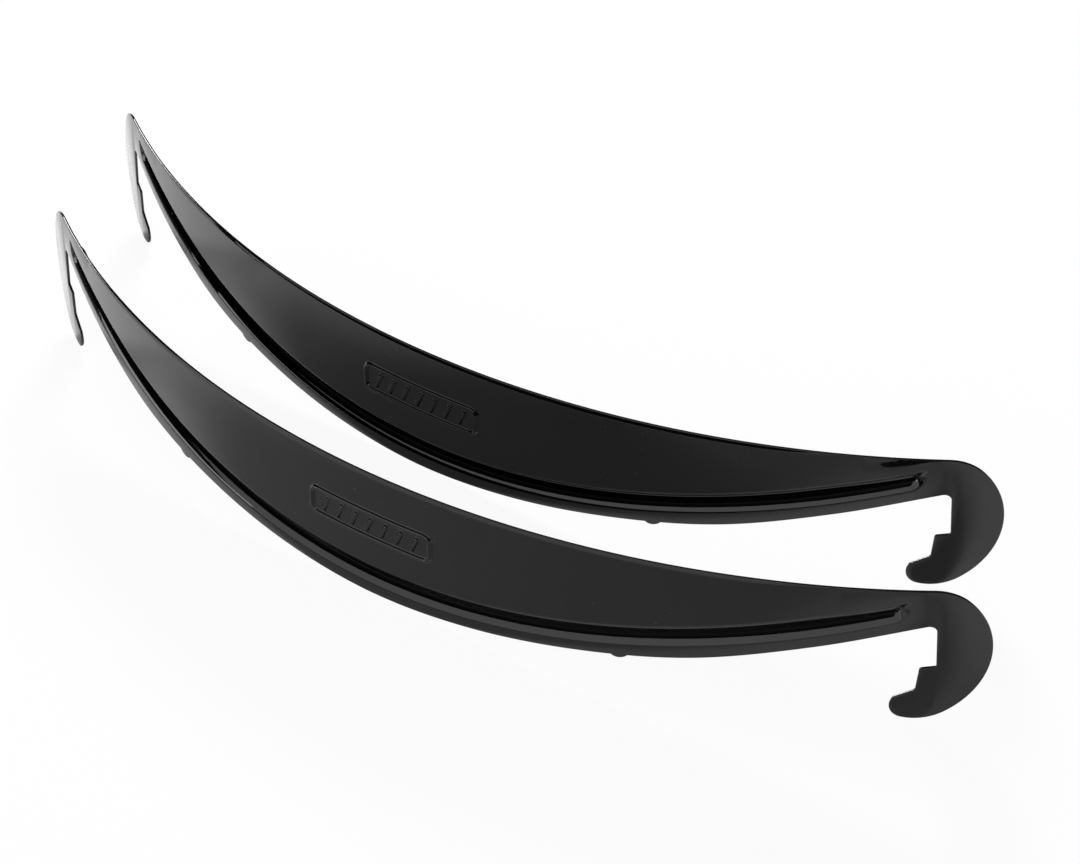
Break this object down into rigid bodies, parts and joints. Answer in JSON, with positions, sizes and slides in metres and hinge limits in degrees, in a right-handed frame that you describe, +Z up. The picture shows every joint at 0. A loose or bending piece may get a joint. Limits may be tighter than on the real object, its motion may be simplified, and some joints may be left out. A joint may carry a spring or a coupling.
{
  "type": "hook-on curved shield pair",
  "caption": "Black enamelled pressed-steel curved strips with a hook at each end, a stiffening groove and a plain raised frame, standing side by side.",
  "frame": {"origin": "on the ground, at the middle of the box round both shields", "axes": "+X along the shields to the right, -Y out of the convex outer faces, +Z up"},
  "size_m": [0.3284, 0.107, 0.0427],
  "materials": {
    "black_enamel": "glossy black enamel on pressed steel"
  },
  "bodies": {
    "rear_shield": {"rear_shield": "black_enamel"},
    "front_shield": {"front_shield": "black_enamel"}
  },
  "joints": [
    {"name": "front_lift", "type": "slide", "parent": "rear_shield", "child": "front_shield", "axis": [0, 0, 1], "range_m": [0, 0.06]}
  ]
}
